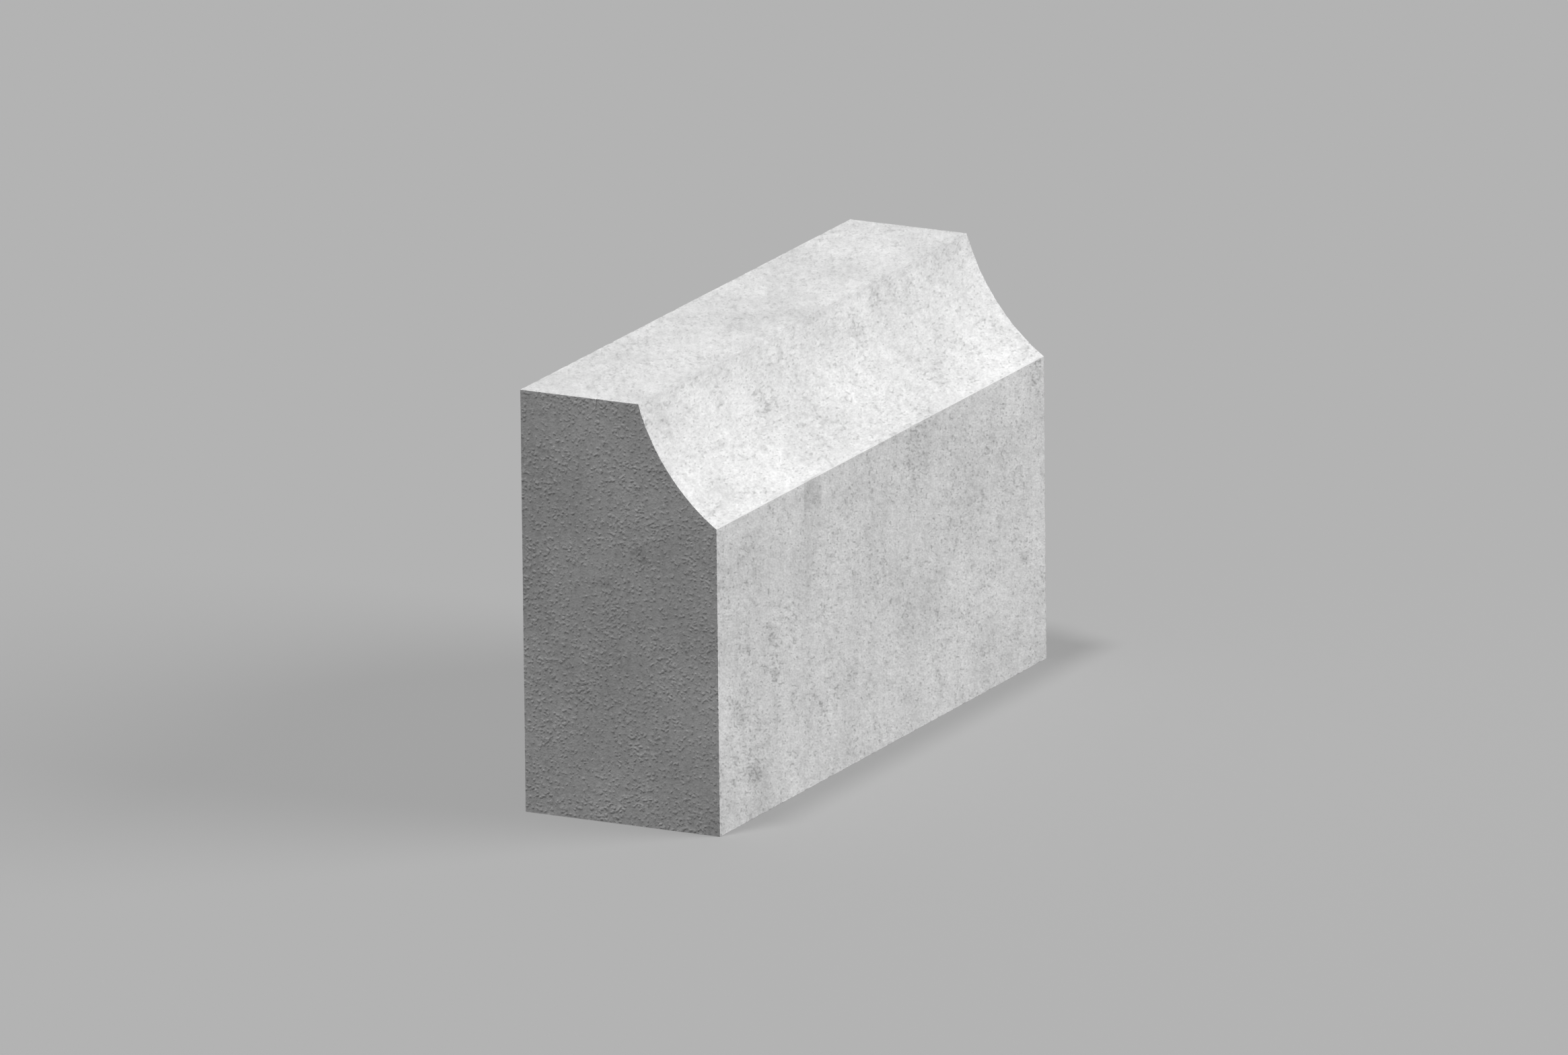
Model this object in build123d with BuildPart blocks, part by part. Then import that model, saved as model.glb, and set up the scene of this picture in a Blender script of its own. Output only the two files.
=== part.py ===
from build123d import *
import os

# Precast concrete curbstone: one cast block, with a hollow cove along the top of its road side.
# Millimetres. X runs along the kerb line, -Y faces the road and +Z is up.
# The origin is the centre of the bed, the face that stands on the ground.

# Driving dimensions
LENGTH = 500  # along the kerb line, from end to end
WIDTH = 150  # from the road face to the back face
HEIGHT = 300  # from the bed to the top
COVE_WIDTH = 59  # how far the cove reaches in from the road face, at the top
COVE_DROP = 82  # how far the cove comes down from the top, at the road face
COVE_RADIUS = 153  # the hollow curve of the cove, struck from a centre out over the road
ARRIS_RADIUS = 0.5  # the slight rounding that the mould leaves on every edge

# Corners of the section, as (Y, Z), from the top of the cove round by the road face and the bed
road_side = -WIDTH / 2
back_side = WIDTH / 2
cove_top = (road_side + COVE_WIDTH, HEIGHT)
cove_foot = (road_side, HEIGHT - COVE_DROP)
road_foot = (road_side, 0)
back_foot = (back_side, 0)
back_top = (back_side, HEIGHT)

with BuildPart() as curbstone:
    # The section, drawn across the kerb line at mid-length
    with BuildSketch(Plane.YZ):
        with BuildLine():
            RadiusArc(cove_top, cove_foot, COVE_RADIUS)
            Polyline(cove_foot, road_foot, back_foot, back_top, cove_top)
        make_face()
    # The same section runs from end to end
    extrude(amount=LENGTH / 2, both=True)
    # Every arris is eased a little, on the section and round both ends
    fillet(curbstone.edges(), radius=ARRIS_RADIUS)
curbstone.part.label = "curbstone"

os.makedirs("parts", exist_ok=True)
export_step(curbstone.part, "parts/curbstone.step")
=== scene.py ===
import math

import bpy
from mathutils import Matrix, Vector


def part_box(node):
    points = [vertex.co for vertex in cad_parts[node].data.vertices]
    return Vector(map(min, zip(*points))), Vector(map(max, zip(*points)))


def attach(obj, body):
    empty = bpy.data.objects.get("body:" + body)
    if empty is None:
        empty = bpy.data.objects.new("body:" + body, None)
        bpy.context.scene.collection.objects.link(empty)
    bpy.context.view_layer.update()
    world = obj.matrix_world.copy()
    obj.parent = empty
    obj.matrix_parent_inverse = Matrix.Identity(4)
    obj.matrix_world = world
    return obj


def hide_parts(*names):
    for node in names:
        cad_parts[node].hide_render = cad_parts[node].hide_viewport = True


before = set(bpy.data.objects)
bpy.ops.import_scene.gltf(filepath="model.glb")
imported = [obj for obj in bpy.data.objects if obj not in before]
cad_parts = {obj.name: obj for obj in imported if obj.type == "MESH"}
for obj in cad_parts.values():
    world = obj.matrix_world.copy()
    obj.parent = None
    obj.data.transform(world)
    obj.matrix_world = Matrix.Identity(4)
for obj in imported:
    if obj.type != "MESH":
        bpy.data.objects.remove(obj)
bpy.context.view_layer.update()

# The curbstone as it stands in the studio: the cast block, its concrete, the floor, the light and the camera.
# Metres throughout, in the frame of the part: X along the kerb line, -Y the road side, Z up from the bed.
# A pair of numbers is a smooth step, from where it starts to where it is full.

MM = 0.001

# The block, read off the frame, and its cove, as the part has it
BLOCK_LOW, BLOCK_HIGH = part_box("curbstone")
HALF_LENGTH = BLOCK_HIGH.x
ROAD_Y = BLOCK_LOW.y
TOP_Z = BLOCK_HIGH.z
COVE_WIDTH = 59 * MM
COVE_DROP = 82 * MM
COVE_RADIUS = 153 * MM

# The cylinder that cuts the cove: its sides, and its length in lengths of the block
COVE_SIDES = 720
CUTTER_REACH = 1.2

# Where the faces meet: the ends along X, the top and the foot of the cove along Z, the rest along Y
ENDS_FROM = (HALF_LENGTH - 1.2 * MM, HALF_LENGTH - 0.7 * MM)
TOP_FROM = (TOP_Z - 1.2 * MM, TOP_Z - 0.8 * MM)
COVE_FROM = (TOP_Z - COVE_DROP - 0.5 * MM, TOP_Z - COVE_DROP + 0.5 * MM)
COVE_TO = (ROAD_Y + COVE_WIDTH, ROAD_Y + COVE_WIDTH + 1 * MM)
ROAD_TO = (ROAD_Y + 1 * MM, ROAD_Y + 2 * MM)

# Mesh of the cast block: cells of about a millimetre, cut again on the ends, where the normal holds END_TURN
# of X or more, and then only as many triangles as the relief needs
OCTREE_DEPTH = 9
OCTREE_SCALE = 0.99
END_CUTS = 1
END_TURN = 0.9
TRIANGLES = 190000
ARRIS_ANGLE = 35.0

# Relief of the whole block, as depths below the mould's own faces: the skin, its slow swell, and chips
# where the mesh bends at an arris (in radians) and the noise is high
SKIN_DEPTH = 0.12 * MM
SWELL_SIZE = 40 * MM
SWELL_DEPTH = 0.20 * MM
CHIP_SIZE = 6 * MM
CHIP_DEPTH = 0.40 * MM
CHIP_BEND = (0.1, 0.5)
CHIP_NOISE = (0.50, 0.75)

# How much of X in the normal moves a point with the ends, and how much holds it back from the long faces
END_MOVES = (0.3, 0.6)
LONG_STAYS = (0.8, 0.95)

# Relief of the ends: a fine roughness and the grains of sand that stand up from it
ROUGH_SIZE = 2.4 * MM
ROUGH_DEPTH = 0.14 * MM
GRAIN_HEIGHT = 0.16 * MM

# The grains: cells with a chance of their own, uneven noise and places where they crowd, the share that each
# of these has, and how high their sum is on a grain
GRAIN_CELL = 2.8 * MM
GRAIN_SIZE = 1.6 * MM
GRAIN_CROWD = 30 * MM
UNEVEN_SHARE = 0.7
CHANCE_SHARE = 0.32
DISTANCE_SHARE = 0.45
CROWD_SHARE = 0.2
GRAIN_SUM = (0.38, 0.64)

# How the grains are drawn out across an end and lean, and how far the cells shift along the block, so that
# the two ends differ
GRAIN_DRAW = 0.88
GRAIN_LEAN = 0.20
GRAIN_SHIFT = 0.4

# The painted shadow under a grain: how far below it and to the road side it lies
GRAIN_SHADOW_DROP = 0.64 * MM
GRAIN_SHADOW_ASIDE = 0.27 * MM

# The hairline crack down from the top edge of the near end, painted as a dark line of shade with a painted
# highlight
# beside it: where it starts, where it turns, how it wanders, the share of its drop over which it stays full,
# and how far it shows on the top
CRACK_Y = 16 * MM
CRACK_LEAN = 0.14
CRACK_TURN_DROP = 7 * MM
CRACK_TURN_LEAN = 0.75
CRACK_DROP = 22 * MM
CRACK_HALF_WIDTH = 0.8 * MM
CRACK_HIGHLIGHT_ASIDE = 1.1 * MM
CRACK_WANDER = 1.2 * MM
CRACK_WANDER_SIZE = 5 * MM
CRACK_FULL = 0.2
CRACK_REACH = 3 * MM

# A run of dirty water down the road face from the arris of the cove: its two sides, its foot, and how ragged
# its right side and its foot are
RUN_LEFT = (-118.5 * MM, -117.5 * MM)
RUN_RIGHT = (-97 * MM, -89 * MM)
RUN_FOOT = (191 * MM, 203 * MM)
RUN_RAGGED = 10 * MM
RUN_RAGGED_SIZE = 5 * MM

# Darker stains in the cement skin: middle, half sizes (millimetres) and strength
STAINS = (
    ((52, -75, 197), (20, 10, 26), 0.8),
    ((-171, -75, 122), (12, 10, 13), 0.9),
    ((-162, -75, 95), (9, 10, 7), 1.0),
    ((-220, -75, 81), (15, 10, 12), 0.6),
    ((-195, -75, 31), (14, 10, 12), 1.0),
    ((-205, -75, 46), (42, 10, 36), 0.45),
    ((-51, -75, 63), (13, 10, 14), 0.5),
    ((-93, -75, 50), (4, 10, 4), 1.0),
    ((218, -75, 80), (14, 10, 10), 0.7),
    ((237, -75, 208), (12, 10, 9), 0.7),
    ((153, -75, 138), (9, 10, 34), 0.25),
    ((-250, 12, 210), (10, 9, 8), 0.6),
    ((-250, -12, 193), (10, 8, 8), 0.8),
    ((-250, 13, 168), (10, 9, 9), 0.5),
    ((-250, -3, 111), (10, 13, 10), 0.5),
    ((-250, 55, 257), (10, 10, 9), 0.5),
    ((-122, 57, 300), (30, 9, 5), 0.5),
    ((-158, 3, 300), (30, 10, 5), 0.4),
    ((-90, -36, 268), (14, 14, 16), 0.7),
    ((60, -28, 280), (14, 12, 12), 0.7),
    ((-220, -41, 262), (16, 14, 16), 0.6),
    ((123, -61, 234), (14, 14, 14), 0.6),
)

# How the stains' outlines are pushed about, and how they fade from the middle, in half sizes
STAIN_WARP_SIZE = 9 * MM
STAIN_WARP_REACH = 9 * MM
STAIN_FADES = (0.1, 1.3)

# How the sand is drawn out along the block and falls a little towards the far end, but not in the cove,
# and the way that the top was floated off
SAND_DRAW = 0.48
SAND_FALL = 0.25
FLOAT_ALONG = 0.89
FLOAT_ACROSS = 0.456
FLOAT_DRAW = 0.42

# The cement skin: its grey, and each pattern's size, how it is drawn out and how far it darkens the grey
SKIN_GREY = 0.665
CLOUD_SIZE = 70 * MM
CLOUD_ROUGHNESS = 0.7
CLOUD_SHADE = 0.50
STREAK_SIZE = 7 * MM
STREAK_DRAW = 0.22
STREAK_SHADE = 0.11
WISP_SIZE = 9 * MM
WISP_DRAW = 0.4
WISP_SHADE = 0.20
SAND_SIZE = 1.4 * MM
SAND_SHADE = 0.56
BLOT_SIZE = 4.0 * MM
BLOT_SHADE = 0.30
SPECK_SIZE = 1.8 * MM
SPECK_NOISE = (0.62, 0.80)
SPECK_SHADE = 0.28
SPOT_NOISE = (0.55, 0.80)
SPOT_SHADE = 0.08
STAIN_SHADE = 0.13
RUN_SHADE = 0.20
# How dark the painted shadow under each grain of the ends is
GRAIN_SHADOW_SHADE = 0.30
# How dark the painted shade of the crack is, and how light the painted highlight beside it
CRACK_SHADE = 0.40
CRACK_HIGHLIGHT = 0.35

# Where specks and spots crowd, and how much calmer the sand is on the top and the ends, and in the cove
CROWD_SIZE = 18 * MM
CROWD_DRAW = 0.75
CROWD_STAIN = 0.6
CROWD_SPECK = 0.25
CROWD_SPOT = 0.45
CALM_FLAT = 0.46
CALM_COVE = 0.20

# Fine grain of the surface, as heights in millimetres, and its matt finish
FINE_SIZE = 1.4 * MM
FINE_BUMP = 0.05
END_FINE_BUMP = 0.11
END_GRAIN_BUMP = 0.095
SURFACE_ROUGHNESS = 0.92
SURFACE_SPECULAR = 0.25

# The average of noise, and how far a seed moves it along each axis
MIDDLE = 0.5
SEED_STEPS = (0.31, 0.47, 0.73)

BLACK = (0, 0, 0, 1)
WHITE = (1, 1, 1, 1)

# Camera: the photograph's angle, as azimuth, elevation and roll in degrees, and a long lens
IMAGE_WIDTH = 2330
FOCAL_PIXELS = 50000
SENSOR_WIDTH = 36.0
VIEW_AZIMUTH = -62.85
VIEW_ELEVATION = 15.40
VIEW_ROLL = -0.62
VIEW_DISTANCE = 23.204
VIEW_LIMIT = 100.0
AIM_RIGHT = -1.28 * MM
AIM_UP = -1.58 * MM

# Light: strength times direction to each lamp, where 1 shows a colour as it is written, the lamps' width in
# degrees, and how far out they are drawn
SIDE_LAMP = Vector((0.30, -0.66, 0.36))
SIDE_SPREAD = 40.0
TOP_LAMP = Vector((-0.118, 0.05, 0.494))
TOP_SPREAD = 8.0
LAMP_DISTANCE = 2
FILL_STRENGTH = 0.24

# Floor and backdrop: their greys as the camera sees them, and the floor's grey as it lights the block
FLOOR_SIZE = 80.0
FLOOR_GREY = 0.22
FLOOR_GLOW = 0.21
FLOOR_BOUNCE = 0.10
BACKDROP_GREY = 0.51


class Wire:
    """One node output, on which arithmetic adds Math nodes."""

    def __init__(self, graph, socket):
        self.graph = graph
        self.socket = socket

    def __add__(self, other):
        return self.graph.math("ADD", self, other)

    def __radd__(self, other):
        return self.graph.math("ADD", other, self)

    def __sub__(self, other):
        return self.graph.math("SUBTRACT", self, other)

    def __rsub__(self, other):
        return self.graph.math("SUBTRACT", other, self)

    def __mul__(self, other):
        return self.graph.math("MULTIPLY", self, other)

    def __rmul__(self, other):
        return self.graph.math("MULTIPLY", other, self)

    def __abs__(self):
        return self.graph.math("ABSOLUTE", self)


class Graph:
    """One node tree, of a material, the world or a modifier."""

    def __init__(self, tree):
        self.tree = tree
        tree.nodes.clear()

    def node(self, kind, settings, inputs, output=0):
        """Adds a node, sets its settings first and then its sockets, and gives the wanted output."""
        made = self.tree.nodes.new(kind)
        for name, value in settings.items():
            setattr(made, name, value)
        for name, value in inputs.items():
            socket = self.find(made.inputs, name)
            if isinstance(value, Wire):
                self.tree.links.new(value.socket, socket)
            else:
                socket.default_value = value
        if not made.outputs:
            return None
        return Wire(self, self.find(made.outputs, output))

    @staticmethod
    def find(sockets, name):
        """A socket by its place, its identifier or its name."""
        if isinstance(name, int):
            return sockets[name]
        for socket in sockets:
            if socket.identifier == name:
                return socket
        return sockets[name]

    def other_output(self, wire, name):
        """Another output of the node that the wire comes from."""
        return Wire(self, self.find(wire.socket.node.outputs, name))

    def math(self, operation, *values):
        inputs = dict(enumerate(values))
        return self.node("ShaderNodeMath", {"operation": operation}, inputs)

    def vector(self, operation, *values, output=0, scale=None):
        inputs = dict(enumerate(values))
        if scale is not None:
            inputs["Scale"] = scale
        return self.node("ShaderNodeVectorMath", {"operation": operation}, inputs, output)

    def clamp(self, value):
        return self.node("ShaderNodeClamp", {}, {"Value": value})

    def step(self, value, low, high):
        """0 below low, 1 above high and smooth between."""
        settings = {"interpolation_type": "SMOOTHSTEP"}
        inputs = {"Value": value, "From Min": low, "From Max": high}
        return self.node("ShaderNodeMapRange", settings, inputs)

    def noise(self, place, size, detail=0.0, seed=0.0, roughness=0.5, output="Fac"):
        """Smooth noise about MIDDLE, mostly within 0.2 of it, with features of the given size in metres."""
        moved = self.vector("ADD", place, [shift * seed for shift in SEED_STEPS])
        inputs = {"Vector": moved, "Scale": 1 / size, "Detail": detail, "Roughness": roughness}
        return self.node("ShaderNodeTexNoise", {}, inputs, output)

    def warped(self, place, size, reach, seed):
        """The place pushed about by noise, so that what is drawn on it loses its even outline."""
        push = self.noise(place, size, seed=seed, output="Color")
        push = self.vector("SUBTRACT", push, (MIDDLE, MIDDLE, MIDDLE))
        return self.vector("ADD", place, self.vector("SCALE", push, scale=reach / MIDDLE))

    def stretched(self, place, scale):
        """The same place with its axes scaled, for a pattern that runs one way."""
        return self.vector("MULTIPLY", place, scale)

    def parts(self, vector):
        """X, Y and Z of a vector."""
        split = self.node("ShaderNodeSeparateXYZ", {}, {"Vector": vector}, "X")
        return [split, self.other_output(split, "Y"), self.other_output(split, "Z")]


def select_only(piece):
    bpy.ops.object.select_all(action="DESELECT")
    piece.select_set(True)
    bpy.context.view_layer.objects.active = piece


def apply_modifier(piece, kind, **settings):
    modifier = piece.modifiers.new(kind.lower(), kind)
    for name, value in settings.items():
        setattr(modifier, name, value)
    bpy.ops.object.modifier_apply(modifier=modifier.name)


def on_ends(graph, place):
    """1 on the two end faces, 0 on the long faces."""
    along = abs(graph.parts(place)[0])
    return graph.step(along, *ENDS_FROM)


def leaning(graph, place):
    """The place drawn out across the ends and upwards to the road side, as the sand on them lies."""
    along, across, height = graph.parts(place)
    inputs = {"X": along, "Y": GRAIN_DRAW * across, "Z": height + GRAIN_LEAN * across}
    return graph.node("ShaderNodeCombineXYZ", {}, inputs)


def raised_grain(graph, place):
    """Sand grains that stand up from an end face: 1 on the crown of a large grain, 0 between grains."""
    along, across, height = graph.parts(place)
    flat = graph.node("ShaderNodeCombineXYZ", {}, {"X": across + GRAIN_SHIFT * along, "Y": height})
    inputs = {"Vector": flat, "Scale": 1 / GRAIN_CELL}
    distance = graph.node("ShaderNodeTexVoronoi", {"voronoi_dimensions": "2D"}, inputs, "Distance")
    chance = graph.parts(graph.other_output(distance, "Color"))[0]
    uneven = graph.noise(leaning(graph, place), GRAIN_SIZE, seed=11.0)
    crowd = graph.noise(place, GRAIN_CROWD, seed=9.0) - MIDDLE
    likely = UNEVEN_SHARE * uneven + CHANCE_SHARE * chance - DISTANCE_SHARE * distance
    return graph.step(likely + CROWD_SHARE * crowd, *GRAIN_SUM)


def crack_lines(graph, place):
    """The crack in the near end, painted as a dark line of shade, and the painted highlight beside it: each 1
    along its middle, 0 beside it.
    """
    along, across, height = graph.parts(place)
    across = across + CRACK_WANDER * (graph.noise(place, CRACK_WANDER_SIZE, seed=21.0) - MIDDLE)
    drop = TOP_Z - height
    past_turn = graph.math("MAXIMUM", drop - CRACK_TURN_DROP, 0.0)
    aside = across - (CRACK_Y + CRACK_LEAN * drop + CRACK_TURN_LEAN * past_turn)
    fading = 1 - graph.step(drop, CRACK_FULL * CRACK_DROP, CRACK_DROP)
    near_end = 1 - graph.step(along, -HALF_LENGTH, -HALF_LENGTH + CRACK_REACH)
    crack = 1 - graph.step(abs(aside), 0.0, CRACK_HALF_WIDTH)
    crack_highlight = 1 - graph.step(abs(aside - CRACK_HIGHLIGHT_ASIDE), 0.0, CRACK_HALF_WIDTH)
    return crack * fading * near_end, crack_highlight * fading * near_end


def dirt_run(graph, place):
    """The run of dirty water on the road face: 1 in it, 0 outside it."""
    along, across, height = graph.parts(place)
    ragged = RUN_RAGGED * (graph.noise(place, RUN_RAGGED_SIZE, detail=1.0, seed=22.0) - MIDDLE)
    left = graph.step(along, *RUN_LEFT)
    right = 1 - graph.step(along + ragged, *RUN_RIGHT)
    on_road = 1 - graph.step(across, *ROAD_TO)
    return left * right * on_road * graph.step(height + ragged, *RUN_FOOT)


def in_cove(graph, place):
    """1 on the cove, 0 on the other long faces."""
    across, height = graph.parts(place)[1:]
    above_foot = graph.step(height, *COVE_FROM)
    below_top = 1 - graph.step(height, *TOP_FROM)
    road_half = 1 - graph.step(across, *COVE_TO)
    return above_foot * below_top * road_half


def relief_tree():
    """Pushes the surface in from the mould's faces, least where a grain stands up."""
    tree = bpy.data.node_groups.new("cast_relief", "GeometryNodeTree")
    tree.interface.new_socket("Geometry", in_out="INPUT", socket_type="NodeSocketGeometry")
    tree.interface.new_socket("Geometry", in_out="OUTPUT", socket_type="NodeSocketGeometry")
    graph = Graph(tree)
    block = graph.node("NodeGroupInput", {}, {}, "Geometry")
    place = graph.node("GeometryNodeInputPosition", {}, {})
    normal = graph.node("GeometryNodeInputNormal", {}, {})
    rough = 1 - graph.noise(leaning(graph, place), ROUGH_SIZE, detail=1.0, seed=4.0)
    grain = 1 - raised_grain(graph, place)
    swell = 1 - graph.noise(place, SWELL_SIZE, detail=2.0, seed=5.0)
    bend = graph.node("GeometryNodeInputMeshEdgeAngle", {}, {}, "Unsigned Angle")
    arris = graph.step(bend, *CHIP_BEND)
    chip = arris * graph.step(graph.noise(place, CHIP_SIZE, detail=2.0, seed=6.0), *CHIP_NOISE)
    skin = SKIN_DEPTH + SWELL_DEPTH * swell + CHIP_DEPTH * chip
    # On the arris of an end both faces move by their own depth, so that neither leaves a lip
    turn = graph.parts(normal)[0]
    end_side = graph.math("SIGN", turn) * graph.step(abs(turn), *END_MOVES)
    long_side = 1 - graph.step(abs(turn), *LONG_STAYS)
    end_depth = skin + ROUGH_DEPTH * rough + GRAIN_HEIGHT * grain
    end_move = graph.node("ShaderNodeCombineXYZ", {}, {"X": -1.0 * end_side * end_depth})
    outward = graph.vector("NORMALIZE", graph.vector("MULTIPLY", normal, (0, 1, 1)))
    long_move = graph.vector("SCALE", outward, scale=-1.0 * long_side * skin)
    inward = graph.vector("ADD", end_move, long_move)
    moved = graph.node("GeometryNodeSetPosition", {}, {"Geometry": block, "Offset": inward})
    graph.node("NodeGroupOutput", {}, {"Geometry": moved})
    return tree


def cove_centre():
    """Where the cove is struck from, out over the road, as (Y, Z)."""
    top = Vector((ROAD_Y + COVE_WIDTH, TOP_Z))
    foot = Vector((ROAD_Y, TOP_Z - COVE_DROP))
    chord = foot - top
    away = Vector((chord.y, -chord.x)).normalized()
    return (top + foot) / 2 + away * math.sqrt(COVE_RADIUS ** 2 - chord.length_squared / 4)


def refine_ends(stone):
    """Cuts the two end faces into finer cells, for the sand grains that stand up from them."""
    ends = [abs(face.normal.x) > END_TURN for face in stone.data.polygons]
    stone.data.polygons.foreach_set("select", ends)
    bpy.context.tool_settings.mesh_select_mode = (False, False, True)
    bpy.ops.object.mode_set(mode="EDIT")
    bpy.ops.mesh.subdivide(number_cuts=END_CUTS)
    bpy.ops.object.mode_set(mode="OBJECT")


def cast_block():
    """A block with its cove cut, meshed finely and given the relief that the mould left on it."""
    middle = (BLOCK_LOW + BLOCK_HIGH) / 2
    size = BLOCK_HIGH - BLOCK_LOW
    bpy.ops.object.select_all(action="DESELECT")
    bpy.ops.mesh.primitive_cylinder_add(vertices=COVE_SIDES, radius=COVE_RADIUS, depth=CUTTER_REACH * size.x,
                                        location=(0, *cove_centre()), rotation=(0, math.pi / 2, 0))
    cutter = bpy.context.object
    bpy.ops.object.select_all(action="DESELECT")
    bpy.ops.mesh.primitive_cube_add(size=1, location=middle, scale=size)
    stone = bpy.context.object
    stone.name = "cast_stone"
    select_only(stone)
    bpy.ops.object.transform_apply(location=True, rotation=True, scale=True)
    apply_modifier(stone, "BOOLEAN", operation="DIFFERENCE", object=cutter)
    bpy.data.objects.remove(cutter)
    apply_modifier(stone, "REMESH", mode="SHARP", octree_depth=OCTREE_DEPTH, scale=OCTREE_SCALE)
    refine_ends(stone)
    apply_modifier(stone, "NODES", node_group=relief_tree())
    apply_modifier(stone, "TRIANGULATE")
    apply_modifier(stone, "DECIMATE", ratio=min(1.0, TRIANGLES / len(stone.data.polygons)))
    bpy.ops.object.shade_smooth_by_angle(angle=math.radians(ARRIS_ANGLE))
    return stone


def stained(graph, place, stains):
    """How far a place lies in a stain: 1 in the middle of a strong one, 0 outside them all."""
    pushed = graph.warped(place, STAIN_WARP_SIZE, STAIN_WARP_REACH, seed=31.0)
    total = 0.0
    for middle, half_sizes, strength in stains:
        offset = graph.vector("SUBTRACT", pushed, [MM * value for value in middle])
        offset = graph.vector("MULTIPLY", offset, [1 / (MM * value) for value in half_sizes])
        far = graph.vector("LENGTH", offset, output="Value")
        total = total + strength * (1 - graph.step(far, *STAIN_FADES))
    return graph.clamp(total)


def concrete():
    """Light grey concrete: mottled, specked and matt."""
    material = bpy.data.materials.new("concrete")
    material.use_nodes = True
    graph = Graph(material.node_tree)
    place = graph.node("ShaderNodeTexCoord", {}, {}, "Object")
    along, across, height = graph.parts(place)
    end = on_ends(graph, place)
    top = graph.step(height, *TOP_FROM)
    cove = in_cove(graph, place)
    stain = stained(graph, place, STAINS)
    # Cloudy cement skin, and faint streaks down it
    cloud = graph.noise(place, CLOUD_SIZE, detail=3.0, seed=2.0, roughness=CLOUD_ROUGHNESS)
    streak = graph.noise(graph.stretched(place, (1.0, 1.0, STREAK_DRAW)), STREAK_SIZE, detail=1.0, seed=3.0)
    # The sand lies drawn out along the block, and slantwise on the top, where the concrete was floated off
    slant = FLOAT_ALONG * along + FLOAT_ACROSS * across
    aside = FLOAT_ALONG * across - FLOAT_ACROSS * along
    floated = graph.node("ShaderNodeCombineXYZ", {}, {"X": FLOAT_DRAW * slant, "Y": aside, "Z": height})
    sloping = height + SAND_FALL * (1 - cove) * along
    fallen = graph.node("ShaderNodeCombineXYZ", {}, {"X": SAND_DRAW * along, "Y": across, "Z": sloping})
    drawn_out = graph.node("ShaderNodeMix", {"data_type": "VECTOR"},
                           {"Factor_Float": top, "A_Vector": fallen, "B_Vector": floated}, "Result_Vector")
    # Sand and pin holes, thicker in some places than in others
    crowded = graph.stretched(place, (1.0, 1.0, CROWD_DRAW))
    crowd = graph.noise(crowded, CROWD_SIZE, detail=1.0, seed=4.0) - MIDDLE + CROWD_STAIN * stain
    sand = graph.noise(drawn_out, SAND_SIZE, detail=1.0, seed=5.0)
    blot = graph.noise(drawn_out, BLOT_SIZE, detail=1.0, seed=6.0)
    hole = graph.noise(drawn_out, SPECK_SIZE, seed=7.0)
    speck = graph.step(hole + CROWD_SPECK * crowd, *SPECK_NOISE)
    spot = graph.step(blot + CROWD_SPOT * crowd, *SPOT_NOISE)
    calm = 1 - CALM_FLAT * graph.math("MAXIMUM", top, end) - CALM_COVE * cove * (1 - end)
    wisp = graph.noise(graph.stretched(floated, (WISP_DRAW, 1.0, 1.0)), WISP_SIZE, detail=1.0, seed=10.0)
    tone = SKIN_GREY * (1 - CLOUD_SHADE * (cloud - MIDDLE)) * (1 - STREAK_SHADE * (streak - MIDDLE))
    tone = tone * (1 - WISP_SHADE * top * (wisp - MIDDLE)) * (1 - STAIN_SHADE * stain)
    tone = tone * (1 - RUN_SHADE * dirt_run(graph, place))
    tone = tone * (1 - SAND_SHADE * calm * (sand - MIDDLE)) * (1 - BLOT_SHADE * (blot - MIDDLE))
    tone = tone * (1 - SPECK_SHADE * calm * speck) * (1 - SPOT_SHADE * spot)
    # Under each grain on the ends, a little to the road side, lies a painted shadow of the grain
    grain = raised_grain(graph, place)
    above = raised_grain(graph, graph.vector("ADD", place, (0, GRAIN_SHADOW_ASIDE, GRAIN_SHADOW_DROP)))
    tone = tone * (1 - GRAIN_SHADOW_SHADE * end * graph.clamp(above - grain))
    # The crack has no relief: its shade is painted as a dark line, with a painted highlight beside it
    crack, crack_highlight = crack_lines(graph, place)
    tone = tone * (1 - CRACK_SHADE * crack) * (1 + CRACK_HIGHLIGHT * crack_highlight)
    grey = graph.node("ShaderNodeMix", {"data_type": "RGBA"},
                      {"Factor_Float": tone, "A_Color": BLACK, "B_Color": WHITE}, "Result_Color")
    fine = graph.noise(leaning(graph, place), FINE_SIZE, detail=1.0, seed=8.0)
    raised = end * (END_FINE_BUMP * fine + END_GRAIN_BUMP * grain) + FINE_BUMP * fine
    bump = graph.node("ShaderNodeBump", {}, {"Strength": 1.0, "Distance": MM, "Height": raised})
    surface = graph.node("ShaderNodeBsdfPrincipled", {},
                         {"Base Color": grey, "Roughness": SURFACE_ROUGHNESS,
                          "Specular IOR Level": SURFACE_SPECULAR, "Normal": bump})
    graph.node("ShaderNodeOutputMaterial", {}, {"Surface": surface})
    return material


def seen_directly(graph):
    """1 on the rays that show the floor and the backdrop, 0 on the rays that light the block by them."""
    rays = graph.node("ShaderNodeLightPath", {}, {}, "Is Camera Ray")
    glossy = graph.other_output(rays, "Is Glossy Ray")
    through = graph.other_output(rays, "Is Transmission Ray")
    return graph.clamp(rays + glossy + through)


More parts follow.
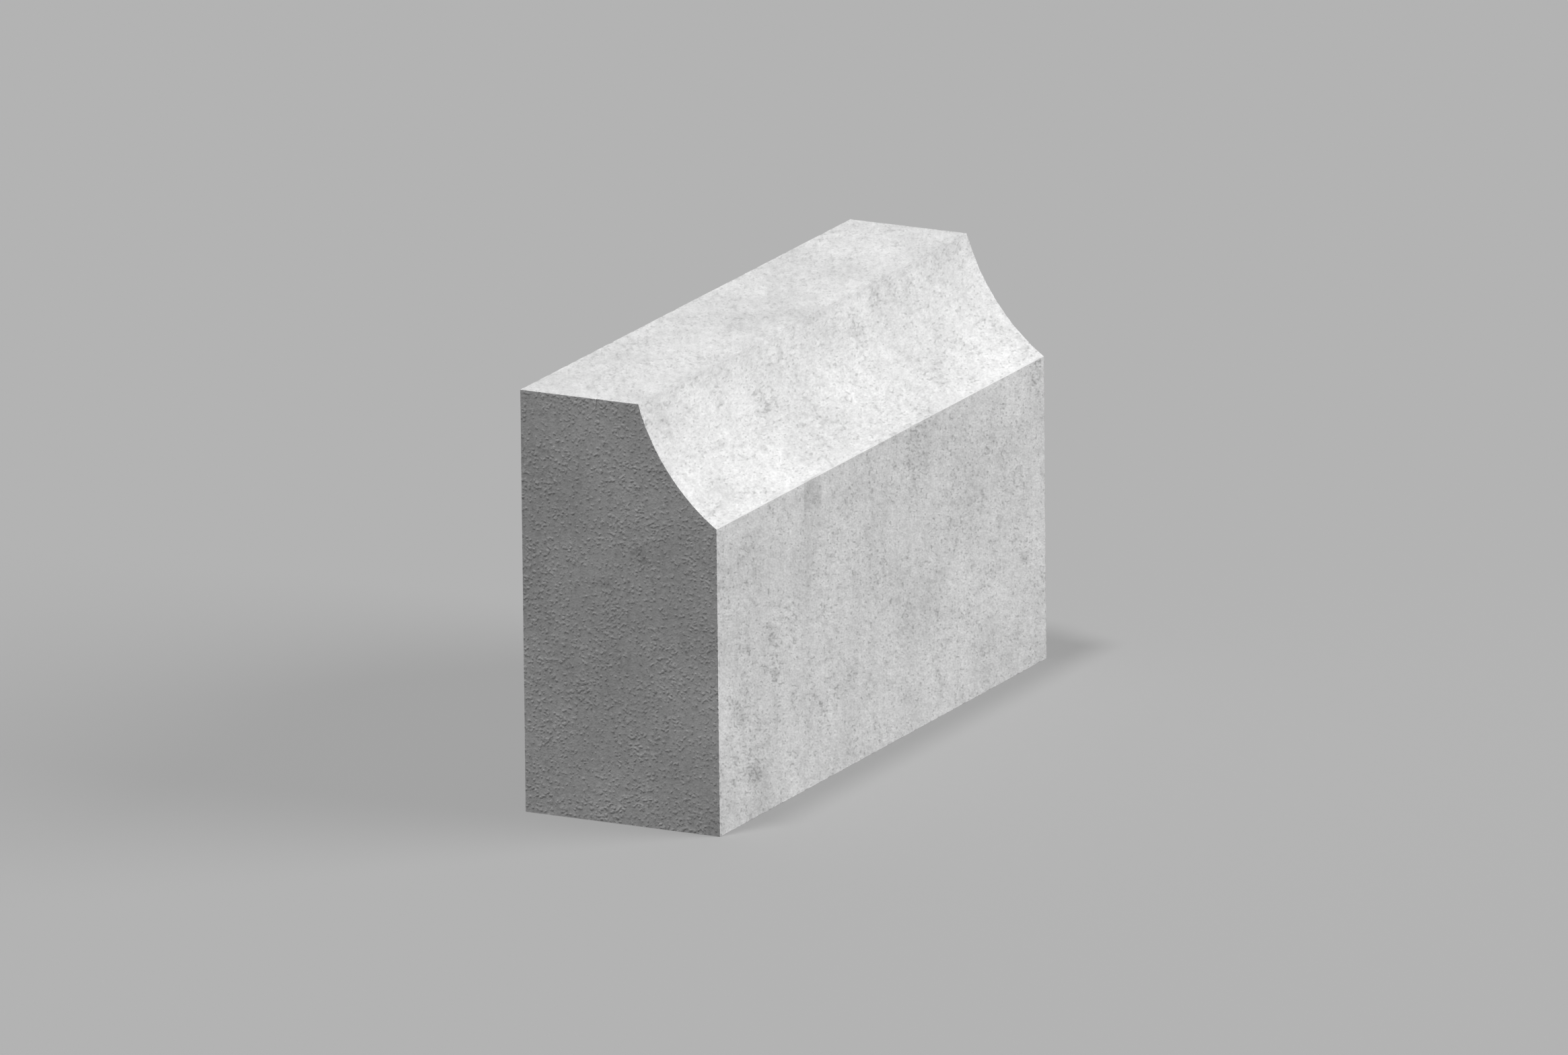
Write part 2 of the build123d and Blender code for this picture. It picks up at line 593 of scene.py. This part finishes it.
def studio_floor():
    """A wide matt floor under the block, lighter to the camera than the light that it gives the block."""
    bpy.ops.object.select_all(action="DESELECT")
    bpy.ops.mesh.primitive_plane_add(size=FLOOR_SIZE, location=(0, 0, 0))
    floor = bpy.context.object
    floor.name = "floor"
    material = bpy.data.materials.new("floor_grey")
    material.use_nodes = True
    graph = Graph(material.node_tree)
    seen = seen_directly(graph)
    grey = FLOOR_BOUNCE + (FLOOR_GREY - FLOOR_BOUNCE) * seen
    colour = graph.node("ShaderNodeCombineXYZ", {}, {"X": grey, "Y": grey, "Z": grey})
    matt = graph.node("ShaderNodeBsdfDiffuse", {}, {"Color": colour})
    glow = graph.node("ShaderNodeEmission", {}, {"Color": WHITE, "Strength": FLOOR_GLOW * seen})
    both = graph.node("ShaderNodeAddShader", {}, {0: matt, 1: glow})
    graph.node("ShaderNodeOutputMaterial", {}, {"Surface": both})
    floor.data.materials.append(material)


def studio_lamp(name, towards, spread):
    """A far lamp of the given width, whose strength is the length of the direction."""
    bpy.ops.object.light_add(type="SUN", location=LAMP_DISTANCE * towards.normalized())
    lamp = bpy.context.object
    lamp.name = name
    lamp.data.energy = towards.length * math.pi
    lamp.data.angle = math.radians(spread)
    lamp.rotation_mode = "QUATERNION"
    lamp.rotation_quaternion = towards.to_track_quat("Z", "Y")


def studio_light():
    """An even fill all round, a wide lamp to the side and a narrow one that grazes the near end."""
    world = bpy.data.worlds.new("studio")
    bpy.context.scene.world = world
    world.use_nodes = True
    graph = Graph(world.node_tree)
    strength = FILL_STRENGTH + (BACKDROP_GREY - FILL_STRENGTH) * seen_directly(graph)
    light = graph.node("ShaderNodeBackground", {}, {"Color": WHITE, "Strength": strength})
    graph.node("ShaderNodeOutputWorld", {}, {"Surface": light})
    studio_lamp("side_lamp", SIDE_LAMP, SIDE_SPREAD)
    studio_lamp("top_lamp", TOP_LAMP, TOP_SPREAD)


def studio_camera():
    """The camera at the photograph's angle."""
    azimuth = math.radians(VIEW_AZIMUTH)
    elevation = math.radians(VIEW_ELEVATION)
    turn = Matrix.Rotation(azimuth, 3, "Z") @ Matrix.Rotation(math.pi / 2 - elevation, 3, "X")
    turn = turn @ Matrix.Rotation(math.radians(VIEW_ROLL), 3, "Z")
    middle = (BLOCK_LOW + BLOCK_HIGH) / 2
    aim = middle + turn @ Vector((AIM_RIGHT, AIM_UP, 0))
    data = bpy.data.cameras.new("camera")
    data.sensor_width = SENSOR_WIDTH
    data.lens = FOCAL_PIXELS / IMAGE_WIDTH * SENSOR_WIDTH
    data.clip_end = VIEW_LIMIT
    camera = bpy.data.objects.new("camera", data)
    bpy.context.scene.collection.objects.link(camera)
    camera.matrix_world = Matrix.Translation(aim + turn @ Vector((0, 0, VIEW_DISTANCE))) @ turn.to_4x4()
    bpy.context.scene.camera = camera


stone = cast_block()
stone.data.materials.clear()
stone.data.materials.append(concrete())
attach(stone, "root")
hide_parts("curbstone")
studio_floor()
studio_light()
studio_camera()
bpy.context.scene.view_settings.view_transform = "Standard"
